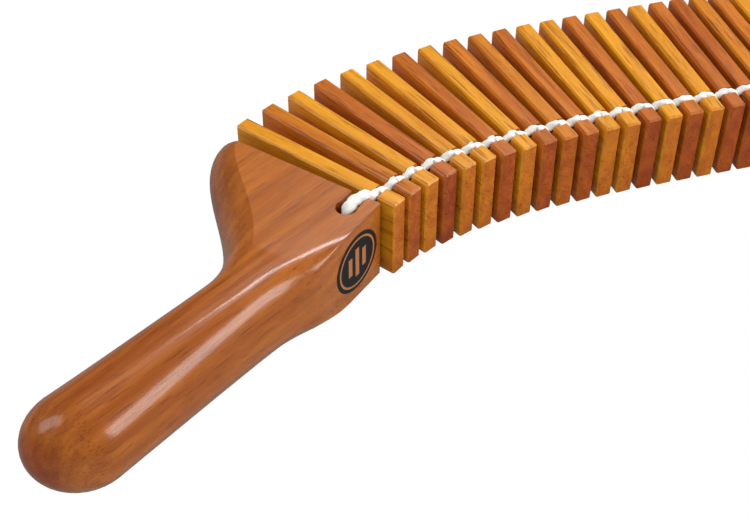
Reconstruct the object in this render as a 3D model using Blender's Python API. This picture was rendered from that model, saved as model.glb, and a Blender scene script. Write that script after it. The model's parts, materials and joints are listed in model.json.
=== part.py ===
"""Kokiriko: a row of wooden slats threaded on one cotton cord between two lacquered handles.

The row stands on its long edges, as it lies on a table, and bows in an arc that is the same on both sides
of the YZ plane. Each slat is notched in its upper and its lower edge. The cord leaves the left handle in
two strands, which change places in every gap between two slats, one over and one under, and its two ends
are knotted together in the bore of the right handle. Every gap is a hinge with a vertical axis.
"""

import math

import bmesh
import bpy
from mathutils import Matrix, Vector

# Slats
SLAT_COUNT = 45
SLAT_LENGTH = 0.080
SLAT_HEIGHT = 0.036
SLAT_THICKNESS = 0.007
SLAT_EDGE = 0.0008
SLAT_PITCH = 0.0094

# Cord, round where it lies in a notch and pressed flat where two strands share a gap
CORD_DIAMETER = 0.0030
CORD_FLAT_THICKNESS = 0.0016
CORD_FLAT_WIDTH = 0.0030
CORD_TURN_WIDTH = 0.0018
STRAND_SPACING = 0.0006
CORD_COVER = 0.0003
CORD_SIDES = 6

# Notches, one over and one under
NOTCH_FROM_END = 0.0085
NOTCH_SIDE_CLEARANCE = 0.0004
NOTCH_FLOOR_CLEARANCE = 0.0007
NOTCH_STEPS = 4

# Bow of the row: how far the first slat is turned, and the row's heading there, against the middle
END_TURN = math.radians(36.5)
TURN_GROWTH = 2.4
END_HEADING = math.radians(32.5)
HEADING_GROWTH = 4.0

# Handles, measured back from the front face and away from the side that carries the cord
HANDLE_LENGTH = 0.1575
HEAD_WIDTH = 0.0795
FLARE_LENGTH = 0.0675
FLARE_SHAPE = 0.9
HEAD_EDGE_ROUND = 0.012
GRIP_CENTRE_AT_NECK = 0.0185
GRIP_TILT = math.radians(7.7)
NECK_WIDTH = 0.030
BUTT_WIDTH = 0.037
BUTT_RADIUS = 0.0195
NECK_FLAT = 0.007
SCOOP_START = 0.018
SCOOP_END = 0.060
HANDLE_LEAD = 0.0037

# Bore and grooves of the handles
BORE_DIAMETER = 0.0085
BORE_FROM_FRONT = 0.0092
BORE_FROM_SIDE = 0.0092
GROOVE_WIDTH = 0.0076
GROOVE_FLOOR_CLEARANCE = 0.0003
BORE_SIDES = 16

# Knot in the right handle's bore
KNOT_CLEARANCE = 0.0004
KNOT_HALF_HEIGHT = 0.0045
END_GAP = 0.0003

# How finely the handles are drawn
CORNER_STEPS = 5
BUTT_STEPS = 5
HEAD_STATION_STEP = 0.005
GRIP_STATION_STEP = 0.015

NOTCH_WIDTH = CORD_DIAMETER + 2 * NOTCH_SIDE_CLEARANCE
NOTCH_DEPTH = CORD_COVER + CORD_DIAMETER + NOTCH_FLOOR_CLEARANCE
NOTCH_CENTRE = NOTCH_FROM_END + NOTCH_WIDTH / 2
GROOVE_DEPTH = CORD_COVER + CORD_DIAMETER + GROOVE_FLOOR_CLEARANCE
CORD_TOP = SLAT_HEIGHT - CORD_COVER - CORD_DIAMETER / 2
CORD_BOTTOM = CORD_COVER + CORD_DIAMETER / 2
FRONT_X = SLAT_THICKNESS / 2
SIDE_Y = HANDLE_LEAD - BORE_FROM_SIDE
GRIP_END = HANDLE_LENGTH - BUTT_RADIUS

# One letter for each slat from the left, and the run starts again after its last one
TONE_RUN = "gagrggogoaoggrgogrraogo"
TONES = {
    "g": ("slat_gold", (0.70, 0.36, 0.03)),
    "a": ("slat_amber", (0.62, 0.28, 0.03)),
    "o": ("slat_orange", (0.55, 0.20, 0.03)),
    "r": ("slat_russet", (0.45, 0.12, 0.03)),
}


def clear_scene():
    for obj in list(bpy.data.objects):
        bpy.data.objects.remove(obj, do_unlink=True)


def material(name, colour, roughness):
    """A plain finish with this colour and roughness."""
    made = bpy.data.materials.get(name) or bpy.data.materials.new(name)
    made.use_nodes = True
    shader = made.node_tree.nodes["Principled BSDF"]
    shader.inputs["Base Color"].default_value = (*colour, 1.0)
    shader.inputs["Roughness"].default_value = roughness
    shader.inputs["Metallic"].default_value = 0.0
    return made


def mesh_object(name, mesh, finish):
    """A new object with this mesh and its own material slot."""
    obj = bpy.data.objects.new(name, mesh)
    bpy.context.scene.collection.objects.link(obj)
    if not mesh.materials:
        mesh.materials.append(None)
    obj.material_slots[0].link = "OBJECT"
    obj.material_slots[0].material = finish
    return obj


def mesh_from(name, build):
    """A mesh that the function build draws, with its faces turned out."""
    shape = bmesh.new()
    build(shape)
    bmesh.ops.recalc_face_normals(shape, faces=shape.faces)
    mesh = bpy.data.meshes.new(name)
    shape.to_mesh(mesh)
    shape.free()
    return mesh


# The row


def bow(steps, end, growth):
    """The turn of a place this many slats left of the middle one, which reaches end at the first slat."""
    to_end = (SLAT_COUNT - 1) / 2
    return math.copysign(end * (abs(steps) / to_end) ** growth, steps)


def row_places():
    """The frame of each piece at the cord: the left handle, the slats from left to right, the right handle."""
    middle = (SLAT_COUNT + 1) / 2
    points = [Vector((0.0, 0.0, 0.0))]
    turns = []
    for index in range(SLAT_COUNT + 2):
        turns.append(bow(middle - index, END_TURN, TURN_GROWTH))
        heading = bow(middle - index - 0.5, END_HEADING, HEADING_GROWTH)
        step = Vector((math.cos(heading), math.sin(heading), 0.0)) * SLAT_PITCH
        points.append(points[-1] + step)
    centre = (points[0] + points[-2]) / 2
    return [
        Matrix.Translation(point - centre) @ Matrix.Rotation(turn, 4, "Z")
        for point, turn in zip(points, turns)
    ]


# Slats


def notch_outline(centre, level, inward):
    """The points of a notch with a round floor, from its near wall to its far wall."""
    radius = NOTCH_WIDTH / 2
    floor_centre = level + inward * (NOTCH_DEPTH - radius)
    points = [(centre - radius, level)]
    for step in range(NOTCH_STEPS + 1):
        angle = math.pi * step / NOTCH_STEPS
        y = centre - radius * math.cos(angle)
        z = floor_centre + inward * radius * math.sin(angle)
        points.append((y, z))
    points.append((centre + radius, level))
    return points


def slat_mesh():
    """A slat with the cord's middle at its origin, its length along Y and its near end towards -Y."""
    near = -NOTCH_CENTRE
    far = near + SLAT_LENGTH
    outline = [(near, 0.0), *notch_outline(0.0, 0.0, 1), (far, 0.0), (far, SLAT_HEIGHT)]
    outline += [*reversed(notch_outline(0.0, SLAT_HEIGHT, -1)), (near, SLAT_HEIGHT)]

    def build(shape):
        corners = [shape.verts.new((-SLAT_THICKNESS / 2, y, z)) for y, z in outline]
        side = shape.faces.new(corners)
        grown = bmesh.ops.extrude_face_region(shape, geom=[side])
        moved = [item for item in grown["geom"] if isinstance(item, bmesh.types.BMVert)]
        bmesh.ops.translate(shape, verts=moved, vec=(SLAT_THICKNESS, 0.0, 0.0))
        bmesh.ops.recalc_face_normals(shape, faces=shape.faces)
        sharp = [edge for edge in shape.edges if edge.calc_face_angle() > math.radians(60)]
        inside_notch = [
            edge
            for edge in sharp
            if all(abs(vert.co.y) < NOTCH_WIDTH for vert in edge.verts)
        ]
        bmesh.ops.bevel(
            shape,
            geom=[edge for edge in sharp if edge not in inside_notch],
            offset=SLAT_EDGE,
            segments=1,
            affect="EDGES",
        )

    return mesh_from("slat", build)


# Handles


def smooth_step(x):
    x = min(max(x, 0.0), 1.0)
    return x * x * (3 - 2 * x)


def grip_centre(u):
    """How far the grip's middle lies from the cord side, at u behind the front face."""
    return GRIP_CENTRE_AT_NECK + math.tan(GRIP_TILT) * (u - FLARE_LENGTH)


def grip_half_width(u):
    """Half the grip's width: narrow up to the neck, then swelling to the butt."""
    along = min(max((u - FLARE_LENGTH) / (GRIP_END - FLARE_LENGTH), 0.0), 1.0)
    return (NECK_WIDTH + (BUTT_WIDTH - NECK_WIDTH) * along) / 2


def far_side(u):
    """The flared side: the head's width at the front, the grip's from the neck on."""
    grip = grip_centre(u) + grip_half_width(u)
    along = min(u / FLARE_LENGTH, 1.0) ** FLARE_SHAPE
    return grip + (HEAD_WIDTH - grip) * math.cos(math.pi / 2 * along) ** 2


def near_side(u):
    """The side that carries the cord: flat at the head, then the grip's."""
    return max(0.0, grip_centre(u) - grip_half_width(u))


def edge_round(u):
    """How far the rounding reaches in from the side of the grip, leaving a flat band that dies out at the butt."""
    along = min(max((u - FLARE_LENGTH) / (GRIP_END - FLARE_LENGTH), 0.0), 1.0)
    grip = grip_half_width(u) - NECK_FLAT / 2 * (1 - along)
    blend = smooth_step(u / FLARE_LENGTH)
    return HEAD_EDGE_ROUND + (grip - HEAD_EDGE_ROUND) * blend


def quarter(centre, half_width, half_height, start):
    """Points of a quarter of an ellipse, clockwise from the start angle in quarter turns."""
    points = []
    for step in range(CORNER_STEPS + 1):
        angle = math.pi / 2 * (start - step / CORNER_STEPS)
        y = centre[0] + half_width * math.cos(angle)
        z = centre[1] + half_height * math.sin(angle)
        points.append((y, z))
    return points


def handle_section(u):
    """The handle's outline at u behind the front face, as (distance from the cord side, height)."""
    half = SLAT_HEIGHT / 2
    near = near_side(u)
    far = far_side(u)
    slope = (far_side(u + SLAT_EDGE) - far_side(max(u - SLAT_EDGE, 0.0))) / SLAT_EDGE / 2
    far_round = min(edge_round(u) * math.hypot(1.0, slope), (far - near) / 2)
    scoop = smooth_step((u - SCOOP_START) / (SCOOP_END - SCOOP_START))
    near_round = edge_round(u) * scoop**0.5
    near_drop = half * scoop**1.5
    top = SLAT_HEIGHT
    return [
        *quarter((near + near_round, top - near_drop), near_round, near_drop, 2),
        *quarter((far - far_round, half), far_round, half, 1),
        *quarter((far - far_round, half), far_round, half, 0)[1:],
        *quarter((near + near_round, near_drop), near_round, near_drop, -1),
    ]


def butt_section(u):
    """An outline of the rounded butt, which shrinks towards its tip."""
    shrink = math.sqrt(max(0.0, 1 - ((u - GRIP_END) / BUTT_RADIUS) ** 2))
    centre = grip_centre(u)
    half = SLAT_HEIGHT / 2
    offset = grip_centre(GRIP_END)
    return [
        (centre + (y - offset) * shrink, half + (z - half) * shrink)
        for y, z in handle_section(GRIP_END)
    ]


def stations():
    """The distances behind the front face at which the handle is drawn, up to the butt."""
    head = math.ceil(FLARE_LENGTH / HEAD_STATION_STEP)
    grip = math.ceil((GRIP_END - FLARE_LENGTH) / GRIP_STATION_STEP)
    return [FLARE_LENGTH * step / head for step in range(head)] + [
        FLARE_LENGTH + (GRIP_END - FLARE_LENGTH) * step / grip for step in range(grip + 1)
    ]


def handle_block():
    """The handle before boring, in the frame of its place in the row, with its grip towards -X."""
    sections = [(u, handle_section(u)) for u in stations()]
    for step in range(1, BUTT_STEPS):
        u = GRIP_END + BUTT_RADIUS * math.sin(math.pi / 2 * step / BUTT_STEPS)
        sections.append((u, butt_section(u)))

    def build(shape):
        rings = [
            [shape.verts.new((FRONT_X - u, SIDE_Y + y, z)) for y, z in outline]
            for u, outline in sections
        ]
        shape.faces.new(rings[0])
        for ring, after in zip(rings, rings[1:]):
            for corner, here in enumerate(ring):
                before = corner - 1
                shape.faces.new((ring[before], here, after[corner], after[before]))
        tip = shape.verts.new(
            (FRONT_X - HANDLE_LENGTH, SIDE_Y + grip_centre(HANDLE_LENGTH), SLAT_HEIGHT / 2)
        )
        for corner, here in enumerate(rings[-1]):
            shape.faces.new((rings[-1][corner - 1], here, tip))
        bmesh.ops.remove_doubles(shape, verts=shape.verts, dist=1e-6)

    return mesh_from("handle", build)


def cutter(name, radius, length, matrix):
    """A hidden round bar that a Boolean takes away."""

    def build(shape):
        bmesh.ops.create_cone(
            shape,
            cap_ends=True,
            segments=BORE_SIDES,
            radius1=radius,
            radius2=radius,
            depth=length,
            matrix=matrix,
        )

    obj = bpy.data.objects.new(name, mesh_from(name, build))
    bpy.context.scene.collection.objects.link(obj)
    obj.hide_render = True
    obj.display_type = "WIRE"
    return obj


def bored_handle_mesh():
    """The handle with its bore from top to bottom and a groove from the bore to the front, over and under."""
    block = mesh_object("handle_block", handle_block(), None)
    bore_x = FRONT_X - BORE_FROM_FRONT
    bore = Matrix.Translation((bore_x, HANDLE_LEAD, SLAT_HEIGHT / 2))
    cutters = [cutter("bore", BORE_DIAMETER / 2, SLAT_HEIGHT * 2, bore)]
    radius = GROOVE_WIDTH / 2
    for name, level in (
        ("groove_over", SLAT_HEIGHT - GROOVE_DEPTH + radius),
        ("groove_under", GROOVE_DEPTH - radius),
    ):
        lying = Matrix.Translation((FRONT_X, HANDLE_LEAD, level)) @ Matrix.Rotation(math.pi / 2, 4, "Y")
        cutters.append(cutter(name, radius, 2 * BORE_FROM_FRONT, lying))
    for tool in cutters:
        cut = block.modifiers.new(tool.name, "BOOLEAN")
        cut.operation = "DIFFERENCE"
        cut.solver = "EXACT"
        cut.object = tool
    graph = bpy.context.evaluated_depsgraph_get()
    mesh = bpy.data.meshes.new_from_object(block.evaluated_get(graph))
    for used in (block, *cutters):
        bpy.data.objects.remove(used, do_unlink=True)
    mesh.name = "handle"
    return mesh


def mirrored(mesh):
    """A copy of the mesh on the other side of the YZ plane."""
    copy = mesh.copy()
    copy.transform(Matrix.Scale(-1.0, 4, (1.0, 0.0, 0.0)))
    copy.flip_normals()
    return copy


# Cord


def cord_ring(frame, x, y, z, angle, width, thickness):
    """One outline of the cord: it lies across the frame's Y and rises by this angle on its way towards +X."""
    across = frame.to_3x3() @ Vector((0.0, 1.0, 0.0))
    upright = frame.to_3x3() @ Vector((-math.sin(angle), 0.0, math.cos(angle)))
    centre = frame @ Vector((x, y, z))
    ring = []
    for corner in range(CORD_SIDES):
        turn = 2 * math.pi * corner / CORD_SIDES
        ring.append(
            centre
            + across * (math.cos(turn) * width / 2)
            + upright * (math.sin(turn) * thickness / 2)
        )
    return ring


def gap_frame(left, right):
    """The frame halfway between two neighbours, turned halfway too."""
    turn = (left.to_euler().z + right.to_euler().z) / 2
    return Matrix.Translation((left.translation + right.translation) / 2) @ Matrix.Rotation(turn, 4, "Z")


def level_of(over):
    return CORD_TOP if over else CORD_BOTTOM


def crossing_rings(left, right, over):
    """The rings of a strand that changes from one edge to the other in the gap between two slats."""
    gap = gap_frame(left, right)
    fall = -1 if over else 1
    side = fall
    inside = SLAT_THICKNESS / 2 - CORD_COVER
    drop = CORD_DIAMETER / 4
    turn_y = side * (CORD_TURN_WIDTH + STRAND_SPACING) / 2
    flat_y = side * (CORD_FLAT_WIDTH + STRAND_SPACING) / 2
    thin = CORD_FLAT_THICKNESS
    start = level_of(over)
    end = level_of(not over)
    return [
        cord_ring(left, inside, 0.0, start, 0.0, CORD_DIAMETER, CORD_DIAMETER),
        cord_ring(gap, 0.0, turn_y, start + fall * drop, fall * math.pi / 4, CORD_TURN_WIDTH, thin),
        cord_ring(gap, 0.0, flat_y, SLAT_HEIGHT / 2, fall * math.pi / 2, CORD_FLAT_WIDTH, thin),
        cord_ring(gap, 0.0, turn_y, end - fall * drop, fall * math.pi / 4, CORD_TURN_WIDTH, thin),
        cord_ring(right, -inside, 0.0, end, 0.0, CORD_DIAMETER, CORD_DIAMETER),
    ]


def strand_rings(places, over):
    """One strand from the left handle's bore to the right handle's, over or under at both its first pieces."""
    size = (CORD_DIAMETER, CORD_DIAMETER)
    inside = SLAT_THICKNESS / 2 - CORD_COVER
    bend = CORD_DIAMETER / 2
    left, right = places[0], places[-1]
    rise = 1 if over else -1
    bore_x = FRONT_X - BORE_FROM_FRONT
    half = SLAT_HEIGHT / 2
    level = level_of(over)
    rings = [
        cord_ring(left, bore_x, HANDLE_LEAD, half + rise * CORD_DIAMETER, rise * math.pi / 2, *size),
        cord_ring(left, bore_x, HANDLE_LEAD, level - rise * 2 * bend, rise * math.pi / 2, *size),
        cord_ring(left, bore_x + bend / 2, HANDLE_LEAD, level - rise * bend / 2, rise * math.pi / 4, *size),
        cord_ring(left, bore_x + 2 * bend, HANDLE_LEAD, level, 0.0, *size),
        cord_ring(left, FRONT_X, HANDLE_LEAD, level, 0.0, *size),
        cord_ring(places[1], -inside, 0.0, level, 0.0, *size),
    ]
    for here, after in zip(places[1:-2], places[2:-1]):
        rings += crossing_rings(here, after, over)
        over = not over
    level = level_of(over)
    fall = -1 if over else 1
    end = half - fall * (KNOT_HALF_HEIGHT + END_GAP)
    rings += [
        cord_ring(places[-2], inside, 0.0, level, 0.0, *size),
        cord_ring(right, -FRONT_X, HANDLE_LEAD, level, 0.0, *size),
        cord_ring(right, -bore_x - 2 * bend, HANDLE_LEAD, level, 0.0, *size),
        cord_ring(right, -bore_x - bend / 2, HANDLE_LEAD, level + fall * bend / 2, fall * math.pi / 4, *size),
        cord_ring(right, -bore_x, HANDLE_LEAD, level + fall * 2 * bend, fall * math.pi / 2, *size),
        cord_ring(right, -bore_x, HANDLE_LEAD, end, fall * math.pi / 2, *size),
    ]
    return rings


def cord_mesh(places):
    """The whole cord: back along one strand, through the left handle's bore, and out along the other."""
    back = [
        [ring[-corner] for corner in range(CORD_SIDES)]
        for ring in reversed(strand_rings(places, True))
    ]
    rings = back + strand_rings(places, False)

    def build(shape):
        loops = [[shape.verts.new(point) for point in ring] for ring in rings]
        shape.faces.new(loops[0])
        shape.faces.new(loops[-1])
        for loop, after in zip(loops, loops[1:]):
            for corner, here in enumerate(loop):
                before = corner - 1
                shape.faces.new((loop[before], here, after[corner], after[before]))

    return mesh_from("cord", build)


def knot_mesh():
    """The knot, a lump that fills the bore."""
    radius = BORE_DIAMETER / 2 - KNOT_CLEARANCE

    def build(shape):
        bmesh.ops.create_icosphere(shape, subdivisions=2, radius=radius)
        bmesh.ops.scale(shape, verts=shape.verts, vec=(1.0, 1.0, KNOT_HALF_HEIGHT / radius))

    return mesh_from("knot", build)


# Assembly


def hang(child, parent, place):
    """Puts the child at its place in the world and lets it follow its parent."""
    child["place"] = [value for row in place for value in row]
    child.parent = parent
    if parent:
        rows = parent["place"]
        child.matrix_parent_inverse = Matrix([rows[start : start + 4] for start in (0, 4, 8, 12)]).inverted()
    child.matrix_basis = place


def hinge_place(places, index, inner):
    """The axis between the piece at this index and its neighbour nearer the middle, upright in their gap."""
    frame = gap_frame(places[min(index, inner)], places[max(index, inner)])
    return Matrix.Translation(frame.translation) @ Matrix.Rotation(places[index].to_euler().z, 4, "Z")


def build_row(places, pieces):
    """Hangs every piece on the hinge towards the middle slat, so that turning a hinge swings what lies beyond it."""
    middle = len(places) // 2
    root = bpy.data.objects.new("row", None)
    bpy.context.scene.collection.objects.link(root)
    hang(root, None, Matrix.Identity(4))
    hang(pieces[middle], root, places[middle])
    for step in (-1, 1):
        carrier = root
        index = middle + step
        while 0 <= index < len(places):
            hinge = bpy.data.objects.new(f"hinge_{index:02d}", None)
            bpy.context.scene.collection.objects.link(hinge)
            hang(hinge, carrier, hinge_place(places, index, index - step))
            hang(pieces[index], hinge, places[index])
            carrier = hinge
            index += step
    return root


def centre_on_floor(root):
    """Moves the row so that its box stands on the origin."""
    bpy.context.view_layer.update()
    corners = [
        obj.matrix_world @ vertex.co
        for obj in bpy.context.scene.objects
        if obj.type == "MESH"
        for vertex in obj.data.vertices
    ]
    low = Vector(min(point[axis] for point in corners) for axis in range(3))
    high = Vector(max(point[axis] for point in corners) for axis in range(3))
    root.location = (-(low.x + high.x) / 2, -(low.y + high.y) / 2, -low.z)


def main():
    clear_scene()
    places = row_places()
    slat = slat_mesh()
    lacquer = material("handle_lacquer", (0.42, 0.13, 0.03), 0.15)
    cotton = material("cord_cotton", (0.86, 0.84, 0.74), 0.95)
    left_mesh = bored_handle_mesh()
    pieces = [mesh_object("handle_left", left_mesh, lacquer)]
    for number in range(1, SLAT_COUNT + 1):
        name, colour = TONES[TONE_RUN[(number - 1) % len(TONE_RUN)]]
        pieces.append(mesh_object(f"slat_{number:02d}", slat, material(name, colour, 0.4)))
    pieces.append(mesh_object("handle_right", mirrored(left_mesh), lacquer))
    root = build_row(places, pieces)
    cord = mesh_object("cord", cord_mesh(places), cotton)
    hang(cord, root, Matrix.Identity(4))
    knot = mesh_object("cord_knot", knot_mesh(), cotton)
    in_bore = Matrix.Translation((BORE_FROM_FRONT - FRONT_X, HANDLE_LEAD, SLAT_HEIGHT / 2))
    hang(knot, pieces[-1], places[-1] @ in_bore)
    for piece in (pieces[0], pieces[-1], cord, knot):
        piece.data.shade_smooth()
        piece.data.set_sharp_from_angle(angle=math.radians(40))
    centre_on_floor(root)


main()
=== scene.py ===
"""Dresses the kokiriko: lacquered wood, a twisted cotton cord, a printed badge and a white studio."""

import json
import math

import bmesh
import bpy
from bpy.props import FloatProperty, FloatVectorProperty, IntProperty, PointerProperty
from mathutils import Matrix, Vector

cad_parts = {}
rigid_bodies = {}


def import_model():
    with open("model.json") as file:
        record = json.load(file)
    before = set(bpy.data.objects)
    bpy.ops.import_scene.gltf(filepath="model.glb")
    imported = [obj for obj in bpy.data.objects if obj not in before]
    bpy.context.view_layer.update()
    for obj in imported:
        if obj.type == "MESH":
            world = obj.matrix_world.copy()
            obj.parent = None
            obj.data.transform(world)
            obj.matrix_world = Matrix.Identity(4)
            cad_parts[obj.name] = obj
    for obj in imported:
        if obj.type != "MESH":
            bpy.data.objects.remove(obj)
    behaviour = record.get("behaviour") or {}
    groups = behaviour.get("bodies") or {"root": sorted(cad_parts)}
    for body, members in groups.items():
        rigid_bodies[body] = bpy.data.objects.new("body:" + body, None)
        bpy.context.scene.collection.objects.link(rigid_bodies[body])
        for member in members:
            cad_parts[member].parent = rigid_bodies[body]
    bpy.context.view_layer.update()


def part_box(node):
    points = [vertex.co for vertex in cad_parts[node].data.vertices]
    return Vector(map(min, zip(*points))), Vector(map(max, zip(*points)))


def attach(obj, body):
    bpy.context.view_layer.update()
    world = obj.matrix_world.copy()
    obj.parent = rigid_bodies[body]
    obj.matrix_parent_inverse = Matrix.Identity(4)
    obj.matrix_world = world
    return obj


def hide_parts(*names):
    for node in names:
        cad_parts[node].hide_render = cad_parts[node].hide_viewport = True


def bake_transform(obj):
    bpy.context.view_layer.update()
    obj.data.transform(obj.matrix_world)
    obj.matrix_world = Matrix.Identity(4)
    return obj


bl_info = {
    "name": "Kokiriko",
    "version": (1, 0, 0),
    "blender": (4, 5, 0),
    "location": "View3D > Sidebar > Kokiriko",
    "description": "Dresses a kokiriko with wood, cord and a studio",
    "category": "Object",
}

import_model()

# Row of slats, in metres
SLAT_COUNT = 45
MIDDLE_SLAT = (SLAT_COUNT + 1) // 2
SLAT_HEIGHT = 0.036
SLAT_THICKNESS = 0.007
SLAT_PITCH = 0.0094
NOTCH_CENTRE = 0.0104
MID_HEIGHT = SLAT_HEIGHT / 2

# Bow of the row: the end slat's turn, the row's heading there, and how late along the row each comes
END_TURN = math.radians(36.5)
TURN_GROWTH = 2.4
END_HEADING = math.radians(32.5)
HEADING_GROWTH = 4.0

# Handles
HANDLE_LENGTH = 0.1575
HEAD_WIDTH = 0.0795
FLARE_LENGTH = 0.0675
FLARE_SHAPE = 0.9
HEAD_EDGE_ROUND = 0.012
GRIP_CENTRE_AT_NECK = 0.0185
GRIP_TILT = math.radians(7.7)
NECK_WIDTH = 0.030
BUTT_WIDTH = 0.037
BUTT_RADIUS = 0.0195
NECK_FLAT = 0.007
SCOOP_START = 0.018
SCOOP_END = 0.060
SCOOP_ROUND_POWER = 0.5
SCOOP_DROP_POWER = 1.5
CREASE_OPENING = 0.58
CREASE_START = 0.022
CREASE_END = 0.060
SLOPE_STEP = 0.0008
HANDLE_LEAD = 0.0037
HANDLE_WELD = 1e-6
HANDLE_SHARP_EDGE = math.radians(15)

# Bore and grooves of a handle
BORE_DIAMETER = 0.0085
BORE_FROM_FRONT = 0.0092
BORE_FROM_SIDE = 0.0092
GROOVE_WIDTH = 0.0076
GROOVE_DEPTH = 0.0036
CUTTER_SIDES = 48

FRONT_X = SLAT_THICKNESS / 2
SIDE_Y = HANDLE_LEAD - BORE_FROM_SIDE
BORE_X = FRONT_X - BORE_FROM_FRONT
GRIP_END = HANDLE_LENGTH - BUTT_RADIUS

# Twist of the cord: its yarns, and the radians that it has turned at its start in a gap and at a handle
YARNS = 3
TURN_PER_GAP = 1.3
HANDLE_START_TURN = 0.7

# Strand in a gap: places along the row from the gap's middle, across the row, and down from its notch
LYING_SHARE = 0.62
LYING_ASIDE = 0.0001
EDGE_ALONG = 0.0008
EDGE_ASIDE = 0.0010
EDGE_DROP = 0.0016
SINK_ALONG = 0.0002
SINK_ASIDE = 0.0014
SINK_DROP = 0.0050
CROSSING_ASIDE = 0.0015

# Strand in a gap: the edge's width as a share of the strand's, the rest as shares of the pressed strand's
EDGE_WIDTH = 0.9
EDGE_THICKNESS = 1.25
SINK_WIDTH = 1.5
CROSSING_WIDTH = 1.45

# Strand at a handle: places from the front face and the bore's axis, and shares of the lead and the size
BEFORE_FRONT = 0.0010
BEHIND_FRONT = 0.0030
LEAD_BEFORE_FRONT = 0.5
SWELL_BEFORE_FRONT = 0.6
SWELL_BEHIND_FRONT = 0.2
BEND_START = 0.0022
BEND_MIDDLE = 0.0002
BEND_DROP = 0.0026
BEND_SIZE = 0.95
BORE_DROP = 0.0070

# Knot in the right handle's bore
KNOT_HALF_HEIGHT = 0.0045
KNOT_CLEARANCE = 0.0004
KNOT_TURNS = 3
KNOT_SLANT = 5.0
KNOT_FURROW = 0.12
KNOT_SIDES = 36
KNOT_ROWS = 24

# Badge, in shares of its radius: the ring's edges, the bars' half width, each bar's middle and half length
RING_INNER = 0.80
RING_OUTER = 0.87
BAR_HALF_WIDTH = 0.09
BARS = ((-0.34, 0.34), (0.0, 0.52), (0.34, 0.34))
BADGE_CORNERS = 64

# The middle of the badge's lines stands this many of its thicknesses out of the flat side
LINES_LIFT = 1.6

# Tones of the slats from the left, one letter each, starting again after the last
TONE_RUN = "gagrggogoaoggrgogrraogo"
TONES = {"g": "golden", "a": "amber", "o": "orange", "r": "red"}

# Grain: each noise's stretch along X, Y and Z, its detail and its roughness
BAND_GRAIN = ((1.0, 0.05, 0.6), 3.0, 0.55)
CLOUD_GRAIN = ((0.12, 0.02, 0.12), 2.0, 0.5)
FINE_GRAIN = ((7.0, 0.22, 7.0), 2.0, 0.6)

# Grain: the noise values between which each effect comes in
BAND_EDGES = (0.30, 0.70)
CLOUD_EDGES = (0.35, 0.65)
PORE_EDGES = (0.54, 0.64)
ROUGHNESS_EDGES = (0.2, 0.8)
RELIEF_EDGES = (0.75, 0.45)

# Grain: what each effect does
BAND_SHARE = 0.65
CLOUD_SHARE = 0.35
PORE_TINT = (0.42, 0.30, 0.22, 1.0)
ROUGHNESS_RANGE = (0.22, 0.34)
END_GRAIN_EDGES = (0.60, 0.95)
END_GRAIN_TINT = (0.74, 0.50, 0.42, 1.0)

# Wood finishes: grain per metre, depth of the pores' colour, strength of the relief and weight of the coat
SLAT_FINISH = {"grain": 260.0, "pores": 0.8, "bump": 0.4, "coat": 0.12}
HANDLE_FINISH = {"grain": 300.0, "pores": 0.6, "bump": 0.12, "coat": 0.7}
SLAT_SEED_STEP = 3.7
HANDLE_SEED = 11.0
WOOD_RELIEF = 0.0002
WOOD_SPECULAR = 0.3
COAT_ROUGHNESS = 0.14

# Cotton: fibres per metre, where its two tones lie on the noise, and its surface
FIBRES_PER_METRE = 2600.0
FIBRE_DETAIL = 3.0
FIBRE_SHADE_AT = 0.25
FIBRE_LIGHT_AT = 0.6
FIBRE_BUMP = 0.8
FIBRE_RELIEF = 0.0003
COTTON_ROUGHNESS = 0.95
COTTON_SHEEN = 0.4

# Camera, from the corners of the slats in the photograph
CAMERA_FROM_MIDDLE = Vector((-0.3166, -0.4153, 0.3826))
CAMERA_YAW = math.radians(15.95)
CAMERA_DROP = math.radians(43.11)
CAMERA_ROLL = math.radians(0.34)
FOCAL_PIXELS = 1410.3
IMAGE_WIDTH = 750
SENSOR_WIDTH = 36.0
NEAREST_SEEN = 0.01

# Studio: the point that the lights face, and each one's place, width and height in metres, and watts
LIT_POINT = (-0.25, -0.03, 0.03)
LIGHTS = {
    "key": ((0.35, 0.75, 1.25), (0.7, 0.4), 11.0),
    "right": ((0.74, -0.38, 0.52), (0.80, 0.50), 6.5),
    "left": ((-0.95, 0.15, 0.75), (0.4, 0.7), 2.0),
}
WHITE = (1.0, 1.0, 1.0, 1.0)
SKY_STRENGTH = 0.62
MIRRORED_SKY_STRENGTH = 0.06
MIRRORED_FLOOR = (1.0, 0.97, 0.93, 1.0)
MIRRORED_FLOOR_STRENGTH = 0.22
FLOOR_COLOUR = (0.85, 0.85, 0.85, 1.0)
FLOOR_ROUGHNESS = 0.9
FLOOR_REACH = 6.0
FLOOR_DROP = 0.0005


# Places along the row


def bow(steps, end, growth):
    """The turn of a place this many slats left of the middle one, which reaches end at the first slat."""
    to_end = (SLAT_COUNT - 1) / 2
    return math.copysign(end * (abs(steps) / to_end) ** growth, steps)


def row_places():
    """The frame of each piece at the cord, from the left handle over the slats to the right handle."""
    points = [Vector((0.0, 0.0, 0.0))]
    turns = []
    for index in range(SLAT_COUNT + 2):
        turns.append(bow(MIDDLE_SLAT - index, END_TURN, TURN_GROWTH))
        heading = bow(MIDDLE_SLAT - index - 0.5, END_HEADING, HEADING_GROWTH)
        onward = Vector((math.cos(heading), math.sin(heading), 0.0))
        points.append(points[-1] + onward * SLAT_PITCH)
    low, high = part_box("slat_23")
    anchor = Vector(((low.x + high.x) / 2, low.y + NOTCH_CENTRE, 0.0))
    shift = anchor - points[MIDDLE_SLAT]
    return [
        Matrix.Translation(point + shift) @ Matrix.Rotation(turn, 4, "Z")
        for point, turn in zip(points, turns)
    ]


def turn_of(place):
    return place.to_euler().z


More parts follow.
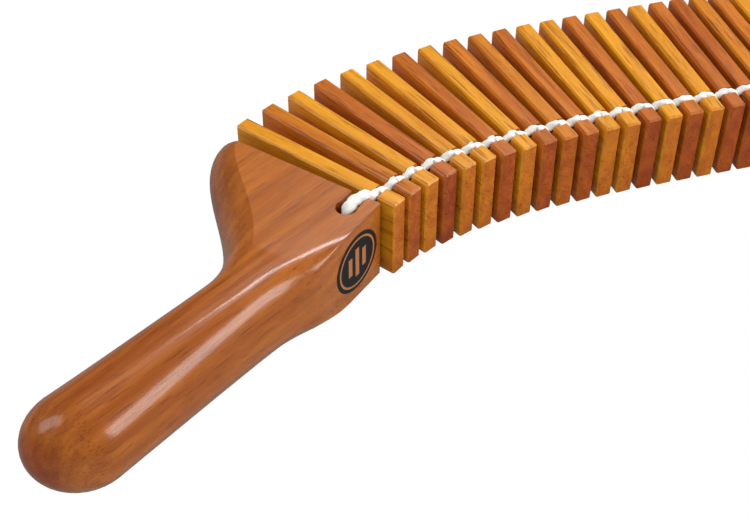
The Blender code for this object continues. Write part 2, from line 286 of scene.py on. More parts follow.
def body_name(index):
    """The body at this place of the row: 0 is the left handle, and the last is the right one."""
    if index == 0:
        return "handle_left"
    if index == SLAT_COUNT + 1:
        return "handle_right"
    return f"slat_{index:02d}"


PLACES = row_places()


# Shader helpers


def feed(tree, target, value):
    """Links a socket into this input, or sets the input to a plain value."""
    if isinstance(value, bpy.types.NodeSocket):
        tree.links.new(value, target)
    else:
        target.default_value = value


def calculated(tree, operation, *values):
    node = tree.nodes.new("ShaderNodeMath")
    node.operation = operation
    for target, value in zip(node.inputs, values):
        feed(tree, target, value)
    return node.outputs[0]


def mixed_colour(tree, blend_type, factor, first, second):
    node = tree.nodes.new("ShaderNodeMix")
    node.data_type = "RGBA"
    node.blend_type = blend_type
    feed(tree, node.inputs["Factor"], factor)
    feed(tree, node.inputs["A"], first)
    feed(tree, node.inputs["B"], second)
    return node.outputs["Result"]


def mixed_shader(tree, factor, first, second):
    """The first shader where the factor is 0, and the second where it is 1."""
    node = tree.nodes.new("ShaderNodeMixShader")
    tree.links.new(factor, node.inputs["Fac"])
    tree.links.new(first, node.inputs[1])
    tree.links.new(second, node.inputs[2])
    return node.outputs["Shader"]


def emission(tree, colour, strength):
    node = tree.nodes.new("ShaderNodeEmission")
    node.inputs["Color"].default_value = colour
    node.inputs["Strength"].default_value = strength
    return node.outputs["Emission"]


def relief(tree, height, strength, distance):
    node = tree.nodes.new("ShaderNodeBump")
    node.inputs["Strength"].default_value = strength
    node.inputs["Distance"].default_value = distance
    tree.links.new(height, node.inputs["Height"])
    return node.outputs["Normal"]


def socket(group, name, kind, in_out, default=None):
    made = group.interface.new_socket(name=name, in_out=in_out, socket_type=kind)
    if default is not None:
        made.default_value = default


def new_material(name):
    """A material with its node tree and its shader."""
    made = bpy.data.materials.new(name)
    made.use_nodes = True
    return made, made.node_tree, made.node_tree.nodes["Principled BSDF"]


# Materials


def wood_group():
    """Long grain with darker pores, laid along Y of a frame with this centre and turn about Z."""
    group = bpy.data.node_groups.get("Long grain")
    if group:
        return group
    group = bpy.data.node_groups.new("Long grain", "ShaderNodeTree")
    socket(group, "Light", "NodeSocketColor", "INPUT", (0.7, 0.35, 0.05, 1))
    socket(group, "Dark", "NodeSocketColor", "INPUT", (0.4, 0.15, 0.02, 1))
    socket(group, "Centre", "NodeSocketVector", "INPUT")
    socket(group, "Turn", "NodeSocketFloat", "INPUT", 0.0)
    socket(group, "Seed", "NodeSocketFloat", "INPUT", 0.0)
    socket(group, "Grain per metre", "NodeSocketFloat", "INPUT", 220.0)
    socket(group, "Pores", "NodeSocketFloat", "INPUT", 0.5)
    socket(group, "Colour", "NodeSocketColor", "OUTPUT")
    socket(group, "Roughness", "NodeSocketFloat", "OUTPUT")
    socket(group, "Height", "NodeSocketFloat", "OUTPUT")
    nodes, links = group.nodes, group.links
    given = nodes.new("NodeGroupInput").outputs
    result = nodes.new("NodeGroupOutput").inputs
    surface = nodes.new("ShaderNodeTexCoord").outputs
    back = calculated(group, "MULTIPLY", given["Turn"], -1.0)

    def turned_back(vector):
        """This vector, seen from the frame that the grain lies in."""
        node = nodes.new("ShaderNodeVectorRotate")
        node.rotation_type = "Z_AXIS"
        links.new(vector, node.inputs["Vector"])
        links.new(back, node.inputs["Angle"])
        return node.outputs[0]

    def streaks(stretch, detail, rough):
        """A noise that is stretched along the grain."""
        stretched = nodes.new("ShaderNodeVectorMath")
        stretched.operation = "MULTIPLY"
        stretched.inputs[1].default_value = stretch
        links.new(grain_point, stretched.inputs[0])
        scaled = nodes.new("ShaderNodeVectorMath")
        scaled.operation = "SCALE"
        links.new(stretched.outputs[0], scaled.inputs[0])
        links.new(given["Grain per metre"], scaled.inputs["Scale"])
        noise = nodes.new("ShaderNodeTexNoise")
        noise.noise_dimensions = "4D"
        noise.inputs["Scale"].default_value = 1.0
        noise.inputs["Detail"].default_value = detail
        noise.inputs["Roughness"].default_value = rough
        links.new(scaled.outputs[0], noise.inputs["Vector"])
        links.new(given["Seed"], noise.inputs["W"])
        return noise.outputs["Fac"]

    def spread(value, edges, result_range=(0.0, 1.0)):
        """The value, eased from one end of the result's range to the other between these edges."""
        ranged = nodes.new("ShaderNodeMapRange")
        ranged.interpolation_type = "SMOOTHSTEP"
        ranged.inputs["From Min"].default_value = edges[0]
        ranged.inputs["From Max"].default_value = edges[1]
        ranged.inputs["To Min"].default_value = result_range[0]
        ranged.inputs["To Max"].default_value = result_range[1]
        links.new(value, ranged.inputs["Value"])
        return ranged.outputs["Result"]

    moved = nodes.new("ShaderNodeVectorMath")
    moved.operation = "SUBTRACT"
    links.new(surface["Object"], moved.inputs[0])
    links.new(given["Centre"], moved.inputs[1])
    grain_point = turned_back(moved.outputs[0])
    bands = spread(streaks(*BAND_GRAIN), BAND_EDGES)
    clouds = spread(streaks(*CLOUD_GRAIN), CLOUD_EDGES)
    fine = streaks(*FINE_GRAIN)
    cloudiness = calculated(group, "MULTIPLY", clouds, CLOUD_SHARE)
    tone = calculated(group, "MULTIPLY_ADD", bands, BAND_SHARE, cloudiness)
    body = mixed_colour(group, "MIX", tone, given["Light"], given["Dark"])

    facing = nodes.new("ShaderNodeSeparateXYZ")
    links.new(turned_back(surface["Normal"]), facing.inputs[0])
    lengthwise = calculated(group, "ABSOLUTE", facing.outputs["Y"])
    end_grain = spread(lengthwise, END_GRAIN_EDGES)
    sawn = mixed_colour(group, "MULTIPLY", end_grain, body, END_GRAIN_TINT)

    pores = calculated(group, "MULTIPLY", spread(fine, PORE_EDGES), given["Pores"])
    links.new(mixed_colour(group, "MULTIPLY", pores, sawn, PORE_TINT), result["Colour"])
    links.new(spread(fine, ROUGHNESS_EDGES, ROUGHNESS_RANGE), result["Roughness"])
    links.new(spread(fine, RELIEF_EDGES), result["Height"])
    return group


def wood(name, light, dark, place, seed, grain, pores, bump, coat):
    """Lacquered wood with its grain along the place's Y."""
    made, tree, shader = new_material(name)
    group = tree.nodes.new("ShaderNodeGroup")
    group.node_tree = wood_group()
    group.inputs["Light"].default_value = (*light, 1.0)
    group.inputs["Dark"].default_value = (*dark, 1.0)
    group.inputs["Centre"].default_value = place.translation
    group.inputs["Turn"].default_value = turn_of(place)
    group.inputs["Seed"].default_value = seed
    group.inputs["Grain per metre"].default_value = grain
    group.inputs["Pores"].default_value = pores
    tree.links.new(group.outputs["Colour"], shader.inputs["Base Color"])
    tree.links.new(group.outputs["Roughness"], shader.inputs["Roughness"])
    grooved = relief(tree, group.outputs["Height"], bump, WOOD_RELIEF)
    tree.links.new(grooved, shader.inputs["Normal"])
    shader.inputs["Coat Weight"].default_value = coat
    shader.inputs["Coat Roughness"].default_value = COAT_ROUGHNESS
    shader.inputs["Specular IOR Level"].default_value = WOOD_SPECULAR
    return made


def cotton(light, shade):
    """Matte cotton with fine fibres."""
    made, tree, shader = new_material("white_cotton")
    surface = tree.nodes.new("ShaderNodeTexCoord")
    fibres = tree.nodes.new("ShaderNodeTexNoise")
    fibres.inputs["Scale"].default_value = FIBRES_PER_METRE
    fibres.inputs["Detail"].default_value = FIBRE_DETAIL
    tree.links.new(surface.outputs["Object"], fibres.inputs["Vector"])
    tint = tree.nodes.new("ShaderNodeValToRGB")
    dark_end, light_end = tint.color_ramp.elements
    dark_end.color = (*shade, 1.0)
    dark_end.position = FIBRE_SHADE_AT
    light_end.color = (*light, 1.0)
    light_end.position = FIBRE_LIGHT_AT
    tree.links.new(fibres.outputs["Fac"], tint.inputs["Fac"])
    tree.links.new(tint.outputs["Color"], shader.inputs["Base Color"])
    fluff = relief(tree, fibres.outputs["Fac"], FIBRE_BUMP, FIBRE_RELIEF)
    tree.links.new(fluff, shader.inputs["Normal"])
    shader.inputs["Roughness"].default_value = COTTON_ROUGHNESS
    shader.inputs["Sheen Weight"].default_value = COTTON_SHEEN
    return made


def ink(name, colour, roughness, specular):
    """An even printed colour."""
    made, _, shader = new_material(name)
    shader.inputs["Base Color"].default_value = (*colour, 1.0)
    shader.inputs["Roughness"].default_value = roughness
    shader.inputs["Specular IOR Level"].default_value = specular
    return made


# Mesh helpers


def mesh_object(name, build, finish, smooth=True):
    """An object from what build draws, with this finish and material slot, if any."""
    shape = bmesh.new()
    build(shape)
    bmesh.ops.recalc_face_normals(shape, faces=shape.faces)
    mesh = bpy.data.meshes.new(name)
    shape.to_mesh(mesh)
    shape.free()
    if smooth:
        mesh.shade_smooth()
    obj = bpy.data.objects.new(name, mesh)
    bpy.context.scene.collection.objects.link(obj)
    if finish:
        mesh.materials.append(finish)
    return obj


def skin(shape, rings, close_ends=True):
    """Joins rings of points, each with as many points, into one tube, and returns its rings of corners."""
    loops = [[shape.verts.new(point) for point in ring] for ring in rings]
    for loop, after in zip(loops, loops[1:]):
        for corner, here in enumerate(loop):
            shape.faces.new((loop[corner - 1], here, after[corner], after[corner - 1]))
    if close_ends:
        shape.faces.new(loops[0])
        shape.faces.new(loops[-1])
    return loops


def round_bar(shape, radius, length, sides, place):
    """A round bar with closed ends, along Z of this place."""
    bmesh.ops.create_cone(
        shape, cap_ends=True, segments=sides, radius1=radius, radius2=radius, depth=length, matrix=place
    )


# Handles


def smooth_step(x):
    x = min(max(x, 0.0), 1.0)
    return x * x * (3 - 2 * x)


def grip_centre(u):
    return GRIP_CENTRE_AT_NECK + math.tan(GRIP_TILT) * (u - FLARE_LENGTH)


def along_grip(u):
    """How far u is from the neck to the butt's start, as a share."""
    return min(max((u - FLARE_LENGTH) / (GRIP_END - FLARE_LENGTH), 0.0), 1.0)


def grip_half_width(u):
    return (NECK_WIDTH + (BUTT_WIDTH - NECK_WIDTH) * along_grip(u)) / 2


def far_side(u):
    grip = grip_centre(u) + grip_half_width(u)
    along = min(u / FLARE_LENGTH, 1.0) ** FLARE_SHAPE
    return grip + (HEAD_WIDTH - grip) * math.cos(math.pi / 2 * along) ** 2


def near_side(u):
    return max(0.0, grip_centre(u) - grip_half_width(u))


def edge_round(u):
    grip = grip_half_width(u) - NECK_FLAT / 2 * (1 - along_grip(u))
    return HEAD_EDGE_ROUND + (grip - HEAD_EDGE_ROUND) * smooth_step(u / FLARE_LENGTH)


def creased(centre, half_width, half_height, opening, steps):
    """Points of an arc from the top down to its outermost point, which meets the flat top in a crease."""
    first = math.pi / 2 * opening
    points = []
    for step in range(steps + 1):
        angle = first * (1 - step / steps)
        out = (math.cos(angle) - math.cos(first)) / (1 - math.cos(first))
        rise = half_height * math.sin(angle) / math.sin(first)
        points.append((centre[0] + half_width * out, centre[1] + rise))
    return points


def quarter(centre, half_width, half_height, start, steps):
    """Points of a quarter ellipse, clockwise from this many quarter turns."""
    return [
        (
            centre[0] + half_width * math.cos(math.pi / 2 * (start - step / steps)),
            centre[1] + half_height * math.sin(math.pi / 2 * (start - step / steps)),
        )
        for step in range(steps + 1)
    ]


def handle_section(u, steps):
    """The handle's outline at u behind the front face, as (distance from the cord side, height)."""
    near = near_side(u)
    far = far_side(u)
    slope = (far_side(u + SLOPE_STEP) - far_side(max(u - SLOPE_STEP, 0.0))) / (2 * SLOPE_STEP)
    far_round = min(edge_round(u) * math.hypot(1.0, slope), (far - near) / 2)
    scoop = smooth_step((u - SCOOP_START) / (SCOOP_END - SCOOP_START))
    near_round = edge_round(u) * scoop**SCOOP_ROUND_POWER
    near_drop = MID_HEIGHT * scoop**SCOOP_DROP_POWER
    filled = smooth_step((u - CREASE_START) / (CREASE_END - CREASE_START))
    opening = CREASE_OPENING + (1 - CREASE_OPENING) * filled
    flank = creased((far - far_round, MID_HEIGHT), far_round, MID_HEIGHT, opening, steps)
    return [
        *quarter((near + near_round, SLAT_HEIGHT - near_drop), near_round, near_drop, 2, steps),
        *flank,
        *[(y, SLAT_HEIGHT - z) for y, z in reversed(flank[:-1])],
        *quarter((near + near_round, near_drop), near_round, near_drop, -1, steps),
    ]


def butt_section(u, steps):
    """The last grip outline, shrunk towards the grip's middle as the butt closes."""
    shrink = math.sqrt(max(0.0, 1 - ((u - GRIP_END) / BUTT_RADIUS) ** 2))
    centre = grip_centre(u)
    offset = grip_centre(GRIP_END)
    return [
        (centre + (y - offset) * shrink, MID_HEIGHT + (z - MID_HEIGHT) * shrink)
        for y, z in handle_section(GRIP_END, steps)
    ]


def handle_sections(settings):
    """The handle's outlines from the front face to the last one before the tip, as (u, outline)."""
    rows = math.ceil(GRIP_END / settings.station_step)
    steps = settings.corner_steps
    stations = [GRIP_END * row / rows for row in range(rows + 1)]
    sections = [(u, handle_section(u, steps)) for u in stations]
    for row in range(1, settings.butt_rows):
        u = GRIP_END + BUTT_RADIUS * math.sin(math.pi / 2 * row / settings.butt_rows)
        sections.append((u, butt_section(u, steps)))
    return sections


def draw_handle(shape, sections):
    """The left handle in its own frame, whole, before its bore and grooves are cut."""
    rings = [[(FRONT_X - u, SIDE_Y + y, z) for y, z in outline] for u, outline in sections]
    front, *_, last = skin(shape, rings, close_ends=False)
    shape.faces.new(front)
    tip = shape.verts.new((FRONT_X - HANDLE_LENGTH, SIDE_Y + grip_centre(HANDLE_LENGTH), MID_HEIGHT))
    for corner, here in enumerate(last):
        shape.faces.new((last[corner - 1], here, tip))
    bmesh.ops.remove_doubles(shape, verts=shape.verts, dist=HANDLE_WELD)


def cutter(name, radius, length, place):
    return mesh_object(
        name, lambda shape: round_bar(shape, radius, length, CUTTER_SIDES, place), None
    )


def cut_for_cord(handle):
    """Cuts the bore and both grooves out of a handle that is still in its own frame."""
    upright = Matrix.Translation((BORE_X, HANDLE_LEAD, MID_HEIGHT))
    cutters = [cutter("bore", BORE_DIAMETER / 2, SLAT_HEIGHT * 2, upright)]
    radius = GROOVE_WIDTH / 2
    for label, level in (("over", SLAT_HEIGHT - GROOVE_DEPTH + radius), ("under", GROOVE_DEPTH - radius)):
        lying = Matrix.Translation((FRONT_X, HANDLE_LEAD, level)) @ Matrix.Rotation(math.pi / 2, 4, "Y")
        cutters.append(cutter(f"groove_{label}", radius, 2 * BORE_FROM_FRONT, lying))
    for tool in cutters:
        cut = handle.modifiers.new(tool.name, "BOOLEAN")
        cut.solver = "EXACT"
        cut.object = tool
    graph = bpy.context.evaluated_depsgraph_get()
    mesh = bpy.data.meshes.new_from_object(handle.evaluated_get(graph))
    handle.modifiers.clear()
    handle.data = mesh
    for tool in cutters:
        bpy.data.objects.remove(tool, do_unlink=True)


def make_handle(name, side, finish, settings):
    """One handle, drawn finely, at its place; side is 1 on the left and -1 on the right."""
    place = PLACES[0] if side > 0 else PLACES[-1]
    sections = handle_sections(settings)
    handle = mesh_object(name, lambda shape: draw_handle(shape, sections), finish)
    cut_for_cord(handle)
    mesh = handle.data
    if side < 0:
        mesh.transform(Matrix.Scale(-1.0, 4, (1.0, 0.0, 0.0)))
        mesh.flip_normals()
    mesh.transform(place)
    mesh.shade_smooth()
    mesh.set_sharp_from_angle(angle=HANDLE_SHARP_EDGE)
    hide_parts(name.replace("_finish", ""))
    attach(handle, name.replace("_finish", ""))


# Cord


def lobed(angle, turns, depth):
    """The radius of a twisted cord's outline, as a share of its size."""
    return 1.0 + depth * math.cos(YARNS * angle - turns)


def strand_rings(points, start_turn, settings):
    """Rings round a run of (centre, across, up, width, thickness), twisted along its length."""
    rings = []
    turned = start_turn
    before = points[0][0]
    for centre, across, up, width, thickness in points:
        turned += (centre - before).length * settings.twist
        before = centre
        ring = []
        for corner in range(settings.sides):
            angle = 2 * math.pi * corner / settings.sides
            size = lobed(angle, turned, settings.lobe_depth)
            aside = math.cos(angle) * width / 2 * size
            above = math.sin(angle) * thickness / 2 * size
            ring.append(centre + across * aside + up * above)
        rings.append(ring)
    return rings


def curve_value(p, q, r, s, t):
    """A Catmull-Rom curve through these four values, from q at t = 0 to r at t = 1."""
    straight = (r - p) * t
    square = (2 * p - 5 * q + 4 * r - s) * t * t
    cube = (3 * q - p - 3 * r + s) * t**3
    return 0.5 * (2 * q + straight + square + cube)


def smooth_path(knots, steps):
    """Points on a smooth curve through the knots, each a tuple of numbers."""
    padded = [knots[0], *knots, knots[-1]]
    found = []
    for a, b, c, d in zip(padded, padded[1:], padded[2:], padded[3:]):
        for step in range(steps):
            found.append(tuple(curve_value(p, q, r, s, step / steps) for p, q, r, s in zip(a, b, c, d)))
    found.append(knots[-1])
    return found


def framed(path, place):
    """Each (x, y, z, width, thickness) of the path as strand_rings takes it, moved to this place."""
    across = place.to_3x3() @ Vector((0.0, 1.0, 0.0))
    points = [place @ Vector(row[:3]) for row in path]
    found = []
    for index, row in enumerate(path):
        ahead = points[min(index + 1, len(points) - 1)] - points[max(index - 1, 0)]
        ahead = ahead.normalized()
        side = across - ahead * across.dot(ahead)
        side.normalize()
        found.append((points[index], side, ahead.cross(side), row[3], row[4]))
    return found


def gap_frame(left, right):
    """The frame halfway between two neighbouring places."""
    turn = (turn_of(left) + turn_of(right)) / 2
    return Matrix.Translation((left.translation + right.translation) / 2) @ Matrix.Rotation(turn, 4, "Z")


def notch_run(over, settings):
    """A strand's size and its centre's height in the upper or the lower notches."""
    if over:
        return settings.diameter, SLAT_HEIGHT - settings.diameter / 2 + settings.proud
    size = settings.under_diameter
    return size, settings.clear_below + size / 2 * (1 + settings.lobe_depth)


def half_gap(size, level, fall, pressed):
    """A strand's knots from a slat's middle into the gap, as (along, aside, height, width, thickness)."""
    half = SLAT_PITCH / 2
    return [
        (half, 0.0, level, size, size),
        (half * LYING_SHARE, LYING_ASIDE, level, size, size),
        (EDGE_ALONG, EDGE_ASIDE, level + fall * EDGE_DROP, size * EDGE_WIDTH, pressed * EDGE_THICKNESS),
        (SINK_ALONG, SINK_ASIDE, level + fall * SINK_DROP, pressed * SINK_WIDTH, pressed),
    ]


def gap_knots(over, settings):
    """The run of a strand from one slat's middle to the next one's, over or under the first slat."""
    pressed = settings.pressed
    fall = -1 if over else 1
    before = half_gap(*notch_run(over, settings), fall, pressed)
    after = half_gap(*notch_run(not over, settings), -fall, pressed)
    crossing = (0.0, CROSSING_ASIDE, MID_HEIGHT, pressed * CROSSING_WIDTH, pressed)
    knots = [(-along, *rest) for along, *rest in before] + [crossing] + after[::-1]
    return [(along, fall * aside, *rest) for along, aside, *rest in knots]


def make_gap_cord(index, finish, settings):
    """Both strands in the gap after this place of the row."""
    place = gap_frame(PLACES[index], PLACES[index + 1])
    over_first = index % 2 == 1

    def build(shape):
        for over in (over_first, not over_first):
            path = smooth_path(gap_knots(over, settings), settings.rings)
            skin(shape, strand_rings(framed(path, place), index * TURN_PER_GAP, settings))

    piece = mesh_object(f"cord_gap_{index:02d}", build, finish)
    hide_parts("cord")
    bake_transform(piece)


def end_knots(over, settings, stop):
    """The run of a strand from the middle of the end slat over the handle's groove and into its bore."""
    size, level = notch_run(over, settings)
    thick = settings.end_diameter if over else size
    bend = thick * BEND_SIZE
    fall = -1 if over else 1
    swell = -fall * (thick - size) / 2
    return [
        (SLAT_PITCH, 0.0, level, size, size),
        (SLAT_PITCH - FRONT_X, 0.0, level, size, size),
        (
            FRONT_X + BEFORE_FRONT,
            HANDLE_LEAD * LEAD_BEFORE_FRONT,
            level + swell * SWELL_BEFORE_FRONT,
            thick,
            thick,
        ),
        (FRONT_X - BEHIND_FRONT, HANDLE_LEAD, level + swell * SWELL_BEHIND_FRONT, thick, thick),
        (BORE_X + BEND_START, HANDLE_LEAD, level, thick, thick),
        (BORE_X + BEND_MIDDLE, HANDLE_LEAD, level + fall * BEND_DROP, bend, bend),
        (BORE_X, HANDLE_LEAD, level + fall * BORE_DROP, size, size),
        (BORE_X, HANDLE_LEAD, MID_HEIGHT - fall * stop, size, size),
    ]


def make_end_cord(side, finish, settings):
    """Both strands between the end slat and the handle on this side; side is 1 on the left."""
    handle = 0 if side > 0 else len(PLACES) - 1
    mirror = Matrix.Scale(-1.0, 4, (1.0, 0.0, 0.0)) if side < 0 else Matrix.Identity(4)
    place = PLACES[handle]
    stop = 0.0 if side > 0 else KNOT_HALF_HEIGHT

    def build(shape):
        for over in (True, False):
            path = smooth_path(end_knots(over, settings, stop), settings.rings)
            rings = strand_rings(framed(path, Matrix.Identity(4)), HANDLE_START_TURN, settings)
            skin(shape, [[place @ (mirror @ point) for point in ring] for ring in rings])

    name = "cord_end_left" if side > 0 else "cord_end_right"
    piece = mesh_object(name, build, finish)
    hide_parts("cord")
    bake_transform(piece)


def make_knot(finish):
    """The knot that holds both cord ends in the right handle's bore, wound from three turns."""
    place = PLACES[-1] @ Matrix.Translation((-BORE_X, HANDLE_LEAD, MID_HEIGHT))
    radius = BORE_DIAMETER / 2 - KNOT_CLEARANCE

    def build(shape):
        bmesh.ops.create_uvsphere(shape, u_segments=KNOT_SIDES, v_segments=KNOT_ROWS, radius=radius)
        for vert in shape.verts:
            around = math.atan2(vert.co.y, vert.co.x)
            rise = vert.co.z / radius
            furrow = 0.5 + 0.5 * math.cos(KNOT_TURNS * around + KNOT_SLANT * rise)
            size = 1 - KNOT_FURROW * furrow
            vert.co = (vert.co.x * size, vert.co.y * size, rise * KNOT_HALF_HEIGHT)
        bmesh.ops.transform(shape, verts=shape.verts, matrix=place)

    knot = mesh_object("knot_wound", build, finish)
    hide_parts("cord_knot")
    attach(knot, "handle_right")


# Badge


def badge_point(settings, across, up, lift):
    """A point this far from the badge's middle, and this far out of the handle's flat side."""
    centre = Vector((FRONT_X - settings.from_front, SIDE_Y, settings.height))
    return PLACES[0] @ (centre + Vector((across, -lift, up)))


def draw_disc(shape, settings):
    """A disc whose back half lies inside the handle."""
    centre = Matrix.Translation((FRONT_X - settings.from_front, SIDE_Y, settings.height))
    place = PLACES[0] @ (centre @ Matrix.Rotation(math.pi / 2, 4, "X"))
    round_bar(shape, settings.diameter / 2, 2 * settings.thickness, BADGE_CORNERS, place)


def draw_lines(shape, settings):
    """A ring round three upright bars."""
    radius = settings.diameter / 2
    lift = settings.thickness * LINES_LIFT

    def corner_at(across, up):
        return shape.verts.new(badge_point(settings, across, up, lift))

    turns = [math.pi * 2 * corner / BADGE_CORNERS for corner in range(BADGE_CORNERS)]
    inner, outer = [
        [corner_at(math.cos(turn) * radius * share, math.sin(turn) * radius * share) for turn in turns]
        for share in (RING_INNER, RING_OUTER)
    ]
    for corner in range(BADGE_CORNERS):
        shape.faces.new((inner[corner - 1], inner[corner], outer[corner], outer[corner - 1]))
    for middle, half_length in BARS:
        left = (middle - BAR_HALF_WIDTH) * radius
        right = (middle + BAR_HALF_WIDTH) * radius
        top = half_length * radius
        outline = ((left, -top), (right, -top), (right, top), (left, top))
        shape.faces.new([corner_at(across, up) for across, up in outline])


# Stage


def camera_matrix():
    """The camera's place, from its yaw, its drop below the horizon and its roll."""
    forward = Vector(
        (
            math.sin(CAMERA_YAW) * math.cos(CAMERA_DROP),
            math.cos(CAMERA_YAW) * math.cos(CAMERA_DROP),
            -math.sin(CAMERA_DROP),
        )
    )
    level = Vector((math.cos(CAMERA_YAW), -math.sin(CAMERA_YAW), 0.0))
    right = math.cos(CAMERA_ROLL) * level + math.sin(CAMERA_ROLL) * level.cross(forward)
    up = right.cross(forward)
    place = Matrix((right, up, -forward)).transposed().to_4x4()
    place.translation = PLACES[MIDDLE_SLAT].translation + CAMERA_FROM_MIDDLE
    return place


def add_camera(scene):
    data = bpy.data.cameras.new("photo")
    data.sensor_width = SENSOR_WIDTH
    data.lens = FOCAL_PIXELS * data.sensor_width / IMAGE_WIDTH
    data.clip_start = NEAREST_SEEN
    camera = bpy.data.objects.new("photo", data)
    scene.collection.objects.link(camera)
    camera.matrix_world = camera_matrix()
    scene.camera = camera


def area_light(name, at, aim, size, power):
    data = bpy.data.lights.new(name, "AREA")
    data.shape = "RECTANGLE"
    data.size, data.size_y = size
    data.energy = power
    obj = bpy.data.objects.new(name, data)
    bpy.context.scene.collection.objects.link(obj)
    obj.location = at
    obj.rotation_euler = (Vector(aim) - Vector(at)).to_track_quat("-Z", "Y").to_euler()


def white_floor():
    """A floor that the camera sees as plain white, mirrors see as dim, and the light sees as pale grey."""
    made, tree, shader = new_material("white_floor")
    shader.inputs["Base Color"].default_value = FLOOR_COLOUR
    shader.inputs["Roughness"].default_value = FLOOR_ROUGHNESS
    ray = tree.nodes.new("ShaderNodeLightPath").outputs
    dim = emission(tree, MIRRORED_FLOOR, MIRRORED_FLOOR_STRENGTH)
    unseen = mixed_shader(tree, ray["Is Glossy Ray"], shader.outputs["BSDF"], dim)
    seen = mixed_shader(tree, ray["Is Camera Ray"], unseen, emission(tree, WHITE, 1.0))
    tree.links.new(seen, tree.nodes["Material Output"].inputs["Surface"])
    return made


def set_sky(world):
    """An even white sky, which mirrors show darker, as they would a studio with a dark ceiling."""
    tree = world.node_tree
    sky = tree.nodes["Background"]
    mirrored = tree.nodes.new("ShaderNodeBackground")
    for node, strength in ((sky, SKY_STRENGTH), (mirrored, MIRRORED_SKY_STRENGTH)):
        node.inputs["Color"].default_value = WHITE
        node.inputs["Strength"].default_value = strength
    ray = tree.nodes.new("ShaderNodeLightPath").outputs
    mixed = mixed_shader(
        tree, ray["Is Glossy Ray"], sky.outputs["Background"], mirrored.outputs["Background"]
    )
    tree.links.new(mixed, tree.nodes["World Output"].inputs["Surface"])


# Settings


def length(name, description, default):
    return FloatProperty(name=name, description=description, default=default, unit="LENGTH")


def colour(name, description, default):
    return FloatVectorProperty(name=name, description=description, default=default, subtype="COLOR", size=3)


class KokirikoSlatSettings(bpy.types.PropertyGroup):
    """The four woods of the slats."""

    golden: colour("Golden", "Golden wood between its dark bands", (0.78, 0.34, 0.012))
    golden_grain: colour("Golden grain", "Dark bands of the golden wood", (0.55, 0.18, 0.006))
    amber: colour("Amber", "Amber wood between its dark bands", (0.68, 0.24, 0.012))
    amber_grain: colour("Amber grain", "Dark bands of the amber wood", (0.44, 0.12, 0.006))
    orange: colour("Orange", "Orange wood between its dark bands", (0.60, 0.18, 0.012))
    orange_grain: colour("Orange grain", "Dark bands of the orange wood", (0.36, 0.08, 0.006))
    red: colour("Red", "Red wood between its dark bands", (0.56, 0.160, 0.012))
    red_grain: colour("Red grain", "Dark bands of the red wood", (0.33, 0.066, 0.006))


class KokirikoHandleSettings(bpy.types.PropertyGroup):
    """The handles' wood, and how finely they are drawn."""

    light: colour("Wood", "Wood between its dark bands", (0.49, 0.145, 0.016))
    dark: colour("Grain", "Dark bands of the wood", (0.28, 0.062, 0.007))
    station_step: length("Station step", "Distance between two outlines along a handle", 0.0025)
    corner_steps: IntProperty(name="Corner steps", description="Faces round a quarter", default=12, min=4)
    butt_rows: IntProperty(name="Butt rows", description="Outlines on the butt", default=12, min=4)


class KokirikoCordSettings(bpy.types.PropertyGroup):
    """The twisted cord."""

    light: colour("Cotton", "Fibres that stand out", (0.97, 0.96, 0.92))
    shade: colour("Shade", "Hollows between the fibres", (0.80, 0.77, 0.70))
    diameter: length("Diameter", "Thickness of a strand in an upper notch", 0.0037)
    end_diameter: length("End diameter", "Thickness of the upper strand at a handle", 0.0050)
    under_diameter: length("Under diameter", "Thickness of a strand in a lower notch", 0.0031)
    clear_below: length("Clear below", "How far the lower strand stays above the undersides", 0.0002)
    pressed: length("Pressed", "Thickness of a strand between two slats", 0.0018)
    proud: length("Proud", "How far an untwisted strand would stand over the slats", 0.0005)
    twist: FloatProperty(name="Twist", description="Turn in radians per metre", default=1500.0)
    lobe_depth: FloatProperty(name="Lobe depth", description="Depth between yarns as a share", default=0.13)
    sides: IntProperty(name="Sides", description="Faces round a strand", default=18, min=6)
    rings: IntProperty(name="Rings", description="Rings between two knots of the path", default=3, min=1)


class KokirikoBadgeSettings(bpy.types.PropertyGroup):
    """The printed badge on the left handle."""

    ground: colour("Ground", "The disc", (0.014, 0.014, 0.015))
    lines: colour("Lines", "The ring and the bars", (0.42, 0.16, 0.05))
    diameter: length("Diameter", "Width of the disc", 0.0265)
    from_front: length("From front", "Distance from the front face to the disc's middle", 0.0158)
    height: length("Height", "Height of the disc's middle", 0.0182)
    thickness: length("Thickness", "How far the disc stands out", 0.0001)


# Operators


class KOKIRIKO_OT_slats(bpy.types.Operator):
    """Gives every slat its own wood."""

    bl_idname = "kokiriko.slats"
    bl_label = "Dress the slats"

    def execute(self, context):
        settings = context.scene.kokiriko_slats
        for number in range(1, SLAT_COUNT + 1):
            tone = TONES[TONE_RUN[(number - 1) % len(TONE_RUN)]]
            light = getattr(settings, tone)
            dark = getattr(settings, f"{tone}_grain")
            name = f"slat_wood_{number:02d}"
            finish = wood(name, light, dark, PLACES[number], number * SLAT_SEED_STEP, **SLAT_FINISH)
            for material_slot in bpy.data.objects[body_name(number)].material_slots:
                material_slot.material = finish
        return {"FINISHED"}


class KOKIRIKO_OT_handles(bpy.types.Operator):
    """Draws both handles finely in glossy wood."""

    bl_idname = "kokiriko.handles"
    bl_label = "Dress the handles"

    def execute(self, context):
        settings = context.scene.kokiriko_handles
        for name, side, index in (("handle_left_finish", 1, 0), ("handle_right_finish", -1, -1)):
            along = PLACES[index] @ Matrix.Rotation(side * (math.pi / 2 - GRIP_TILT), 4, "Z")
            seed = HANDLE_SEED + side
            finish = wood(f"{name}_wood", settings.light, settings.dark, along, seed, **HANDLE_FINISH)
            make_handle(name, side, finish, settings)
        return {"FINISHED"}


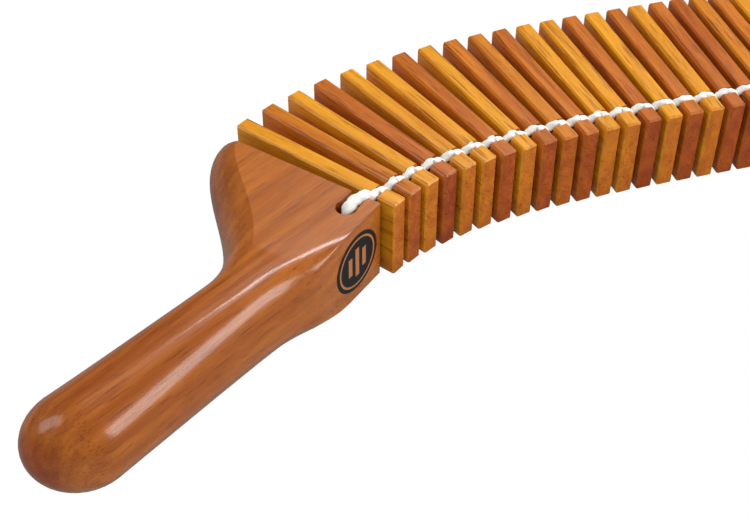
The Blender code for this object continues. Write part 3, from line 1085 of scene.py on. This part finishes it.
class KOKIRIKO_OT_cord(bpy.types.Operator):
    """Threads the twisted cord from the left handle to the right one."""

    bl_idname = "kokiriko.cord"
    bl_label = "Thread the cord"

    def execute(self, context):
        settings = context.scene.kokiriko_cord
        finish = cotton(settings.light, settings.shade)
        for index in range(1, SLAT_COUNT):
            make_gap_cord(index, finish, settings)
        make_end_cord(1, finish, settings)
        make_end_cord(-1, finish, settings)
        make_knot(finish)
        return {"FINISHED"}


class KOKIRIKO_OT_badge(bpy.types.Operator):
    """Prints a plain round badge on the left handle's flat side."""

    bl_idname = "kokiriko.badge"
    bl_label = "Print the badge"

    def execute(self, context):
        settings = context.scene.kokiriko_badge
        ground = ink("badge_ink", settings.ground, roughness=0.45, specular=0.25)
        disc = mesh_object(
            "badge", lambda shape: draw_disc(shape, settings), ground, smooth=False
        )
        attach(disc, "handle_left")
        paint = ink("badge_motif", settings.lines, roughness=0.4, specular=0.5)
        lines = mesh_object(
            "badge_lines", lambda shape: draw_lines(shape, settings), paint, smooth=False
        )
        thick = lines.modifiers.new("thickness", "SOLIDIFY")
        thick.thickness = settings.thickness / 2
        thick.offset = 0.0
        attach(lines, "handle_left")
        return {"FINISHED"}


class KOKIRIKO_OT_stage(bpy.types.Operator):
    """Sets the floor, the lights and the camera."""

    bl_idname = "kokiriko.stage"
    bl_label = "Set the stage"

    def execute(self, context):
        scene = context.scene

        def plane(shape):
            bmesh.ops.create_grid(shape, x_segments=1, y_segments=1, size=FLOOR_REACH)

        floor = mesh_object("floor", plane, white_floor(), smooth=False)
        floor.location = (0.0, 0.0, -FLOOR_DROP)
        world = bpy.data.worlds.new("studio")
        scene.world = world
        world.use_nodes = True
        set_sky(world)
        for name, (at, size, power) in LIGHTS.items():
            area_light(name, at, LIT_POINT, size, power)
        add_camera(scene)
        scene.view_settings.view_transform = "Standard"
        return {"FINISHED"}


class KOKIRIKO_PT_panel(bpy.types.Panel):
    """The pieces of the kokiriko."""

    bl_idname = "KOKIRIKO_PT_panel"
    bl_label = "Kokiriko"
    bl_space_type = "VIEW_3D"
    bl_region_type = "UI"
    bl_category = "Kokiriko"

    def draw(self, context):
        for operator in OPERATORS:
            self.layout.operator(operator.bl_idname)
        for settings in SETTINGS:
            group = getattr(context.scene, settings)
            for name in group.bl_rna.properties.keys():
                if name not in ("rna_type", "name"):
                    self.layout.prop(group, name)


OPERATORS = (
    KOKIRIKO_OT_slats,
    KOKIRIKO_OT_handles,
    KOKIRIKO_OT_cord,
    KOKIRIKO_OT_badge,
    KOKIRIKO_OT_stage,
)
SETTINGS = {
    "kokiriko_slats": KokirikoSlatSettings,
    "kokiriko_handles": KokirikoHandleSettings,
    "kokiriko_cord": KokirikoCordSettings,
    "kokiriko_badge": KokirikoBadgeSettings,
}


def register():
    for name, settings in SETTINGS.items():
        bpy.utils.register_class(settings)
        setattr(bpy.types.Scene, name, PointerProperty(type=settings))
    for operator in OPERATORS:
        bpy.utils.register_class(operator)
    bpy.utils.register_class(KOKIRIKO_PT_panel)


def unregister():
    bpy.utils.unregister_class(KOKIRIKO_PT_panel)
    for operator in reversed(OPERATORS):
        bpy.utils.unregister_class(operator)
    for name, settings in SETTINGS.items():
        delattr(bpy.types.Scene, name)
        bpy.utils.unregister_class(settings)


def main():
    register()
    bpy.ops.kokiriko.slats()
    bpy.ops.kokiriko.handles()
    bpy.ops.kokiriko.cord()
    bpy.ops.kokiriko.badge()
    bpy.ops.kokiriko.stage()


if __name__ == "__main__":
    main()
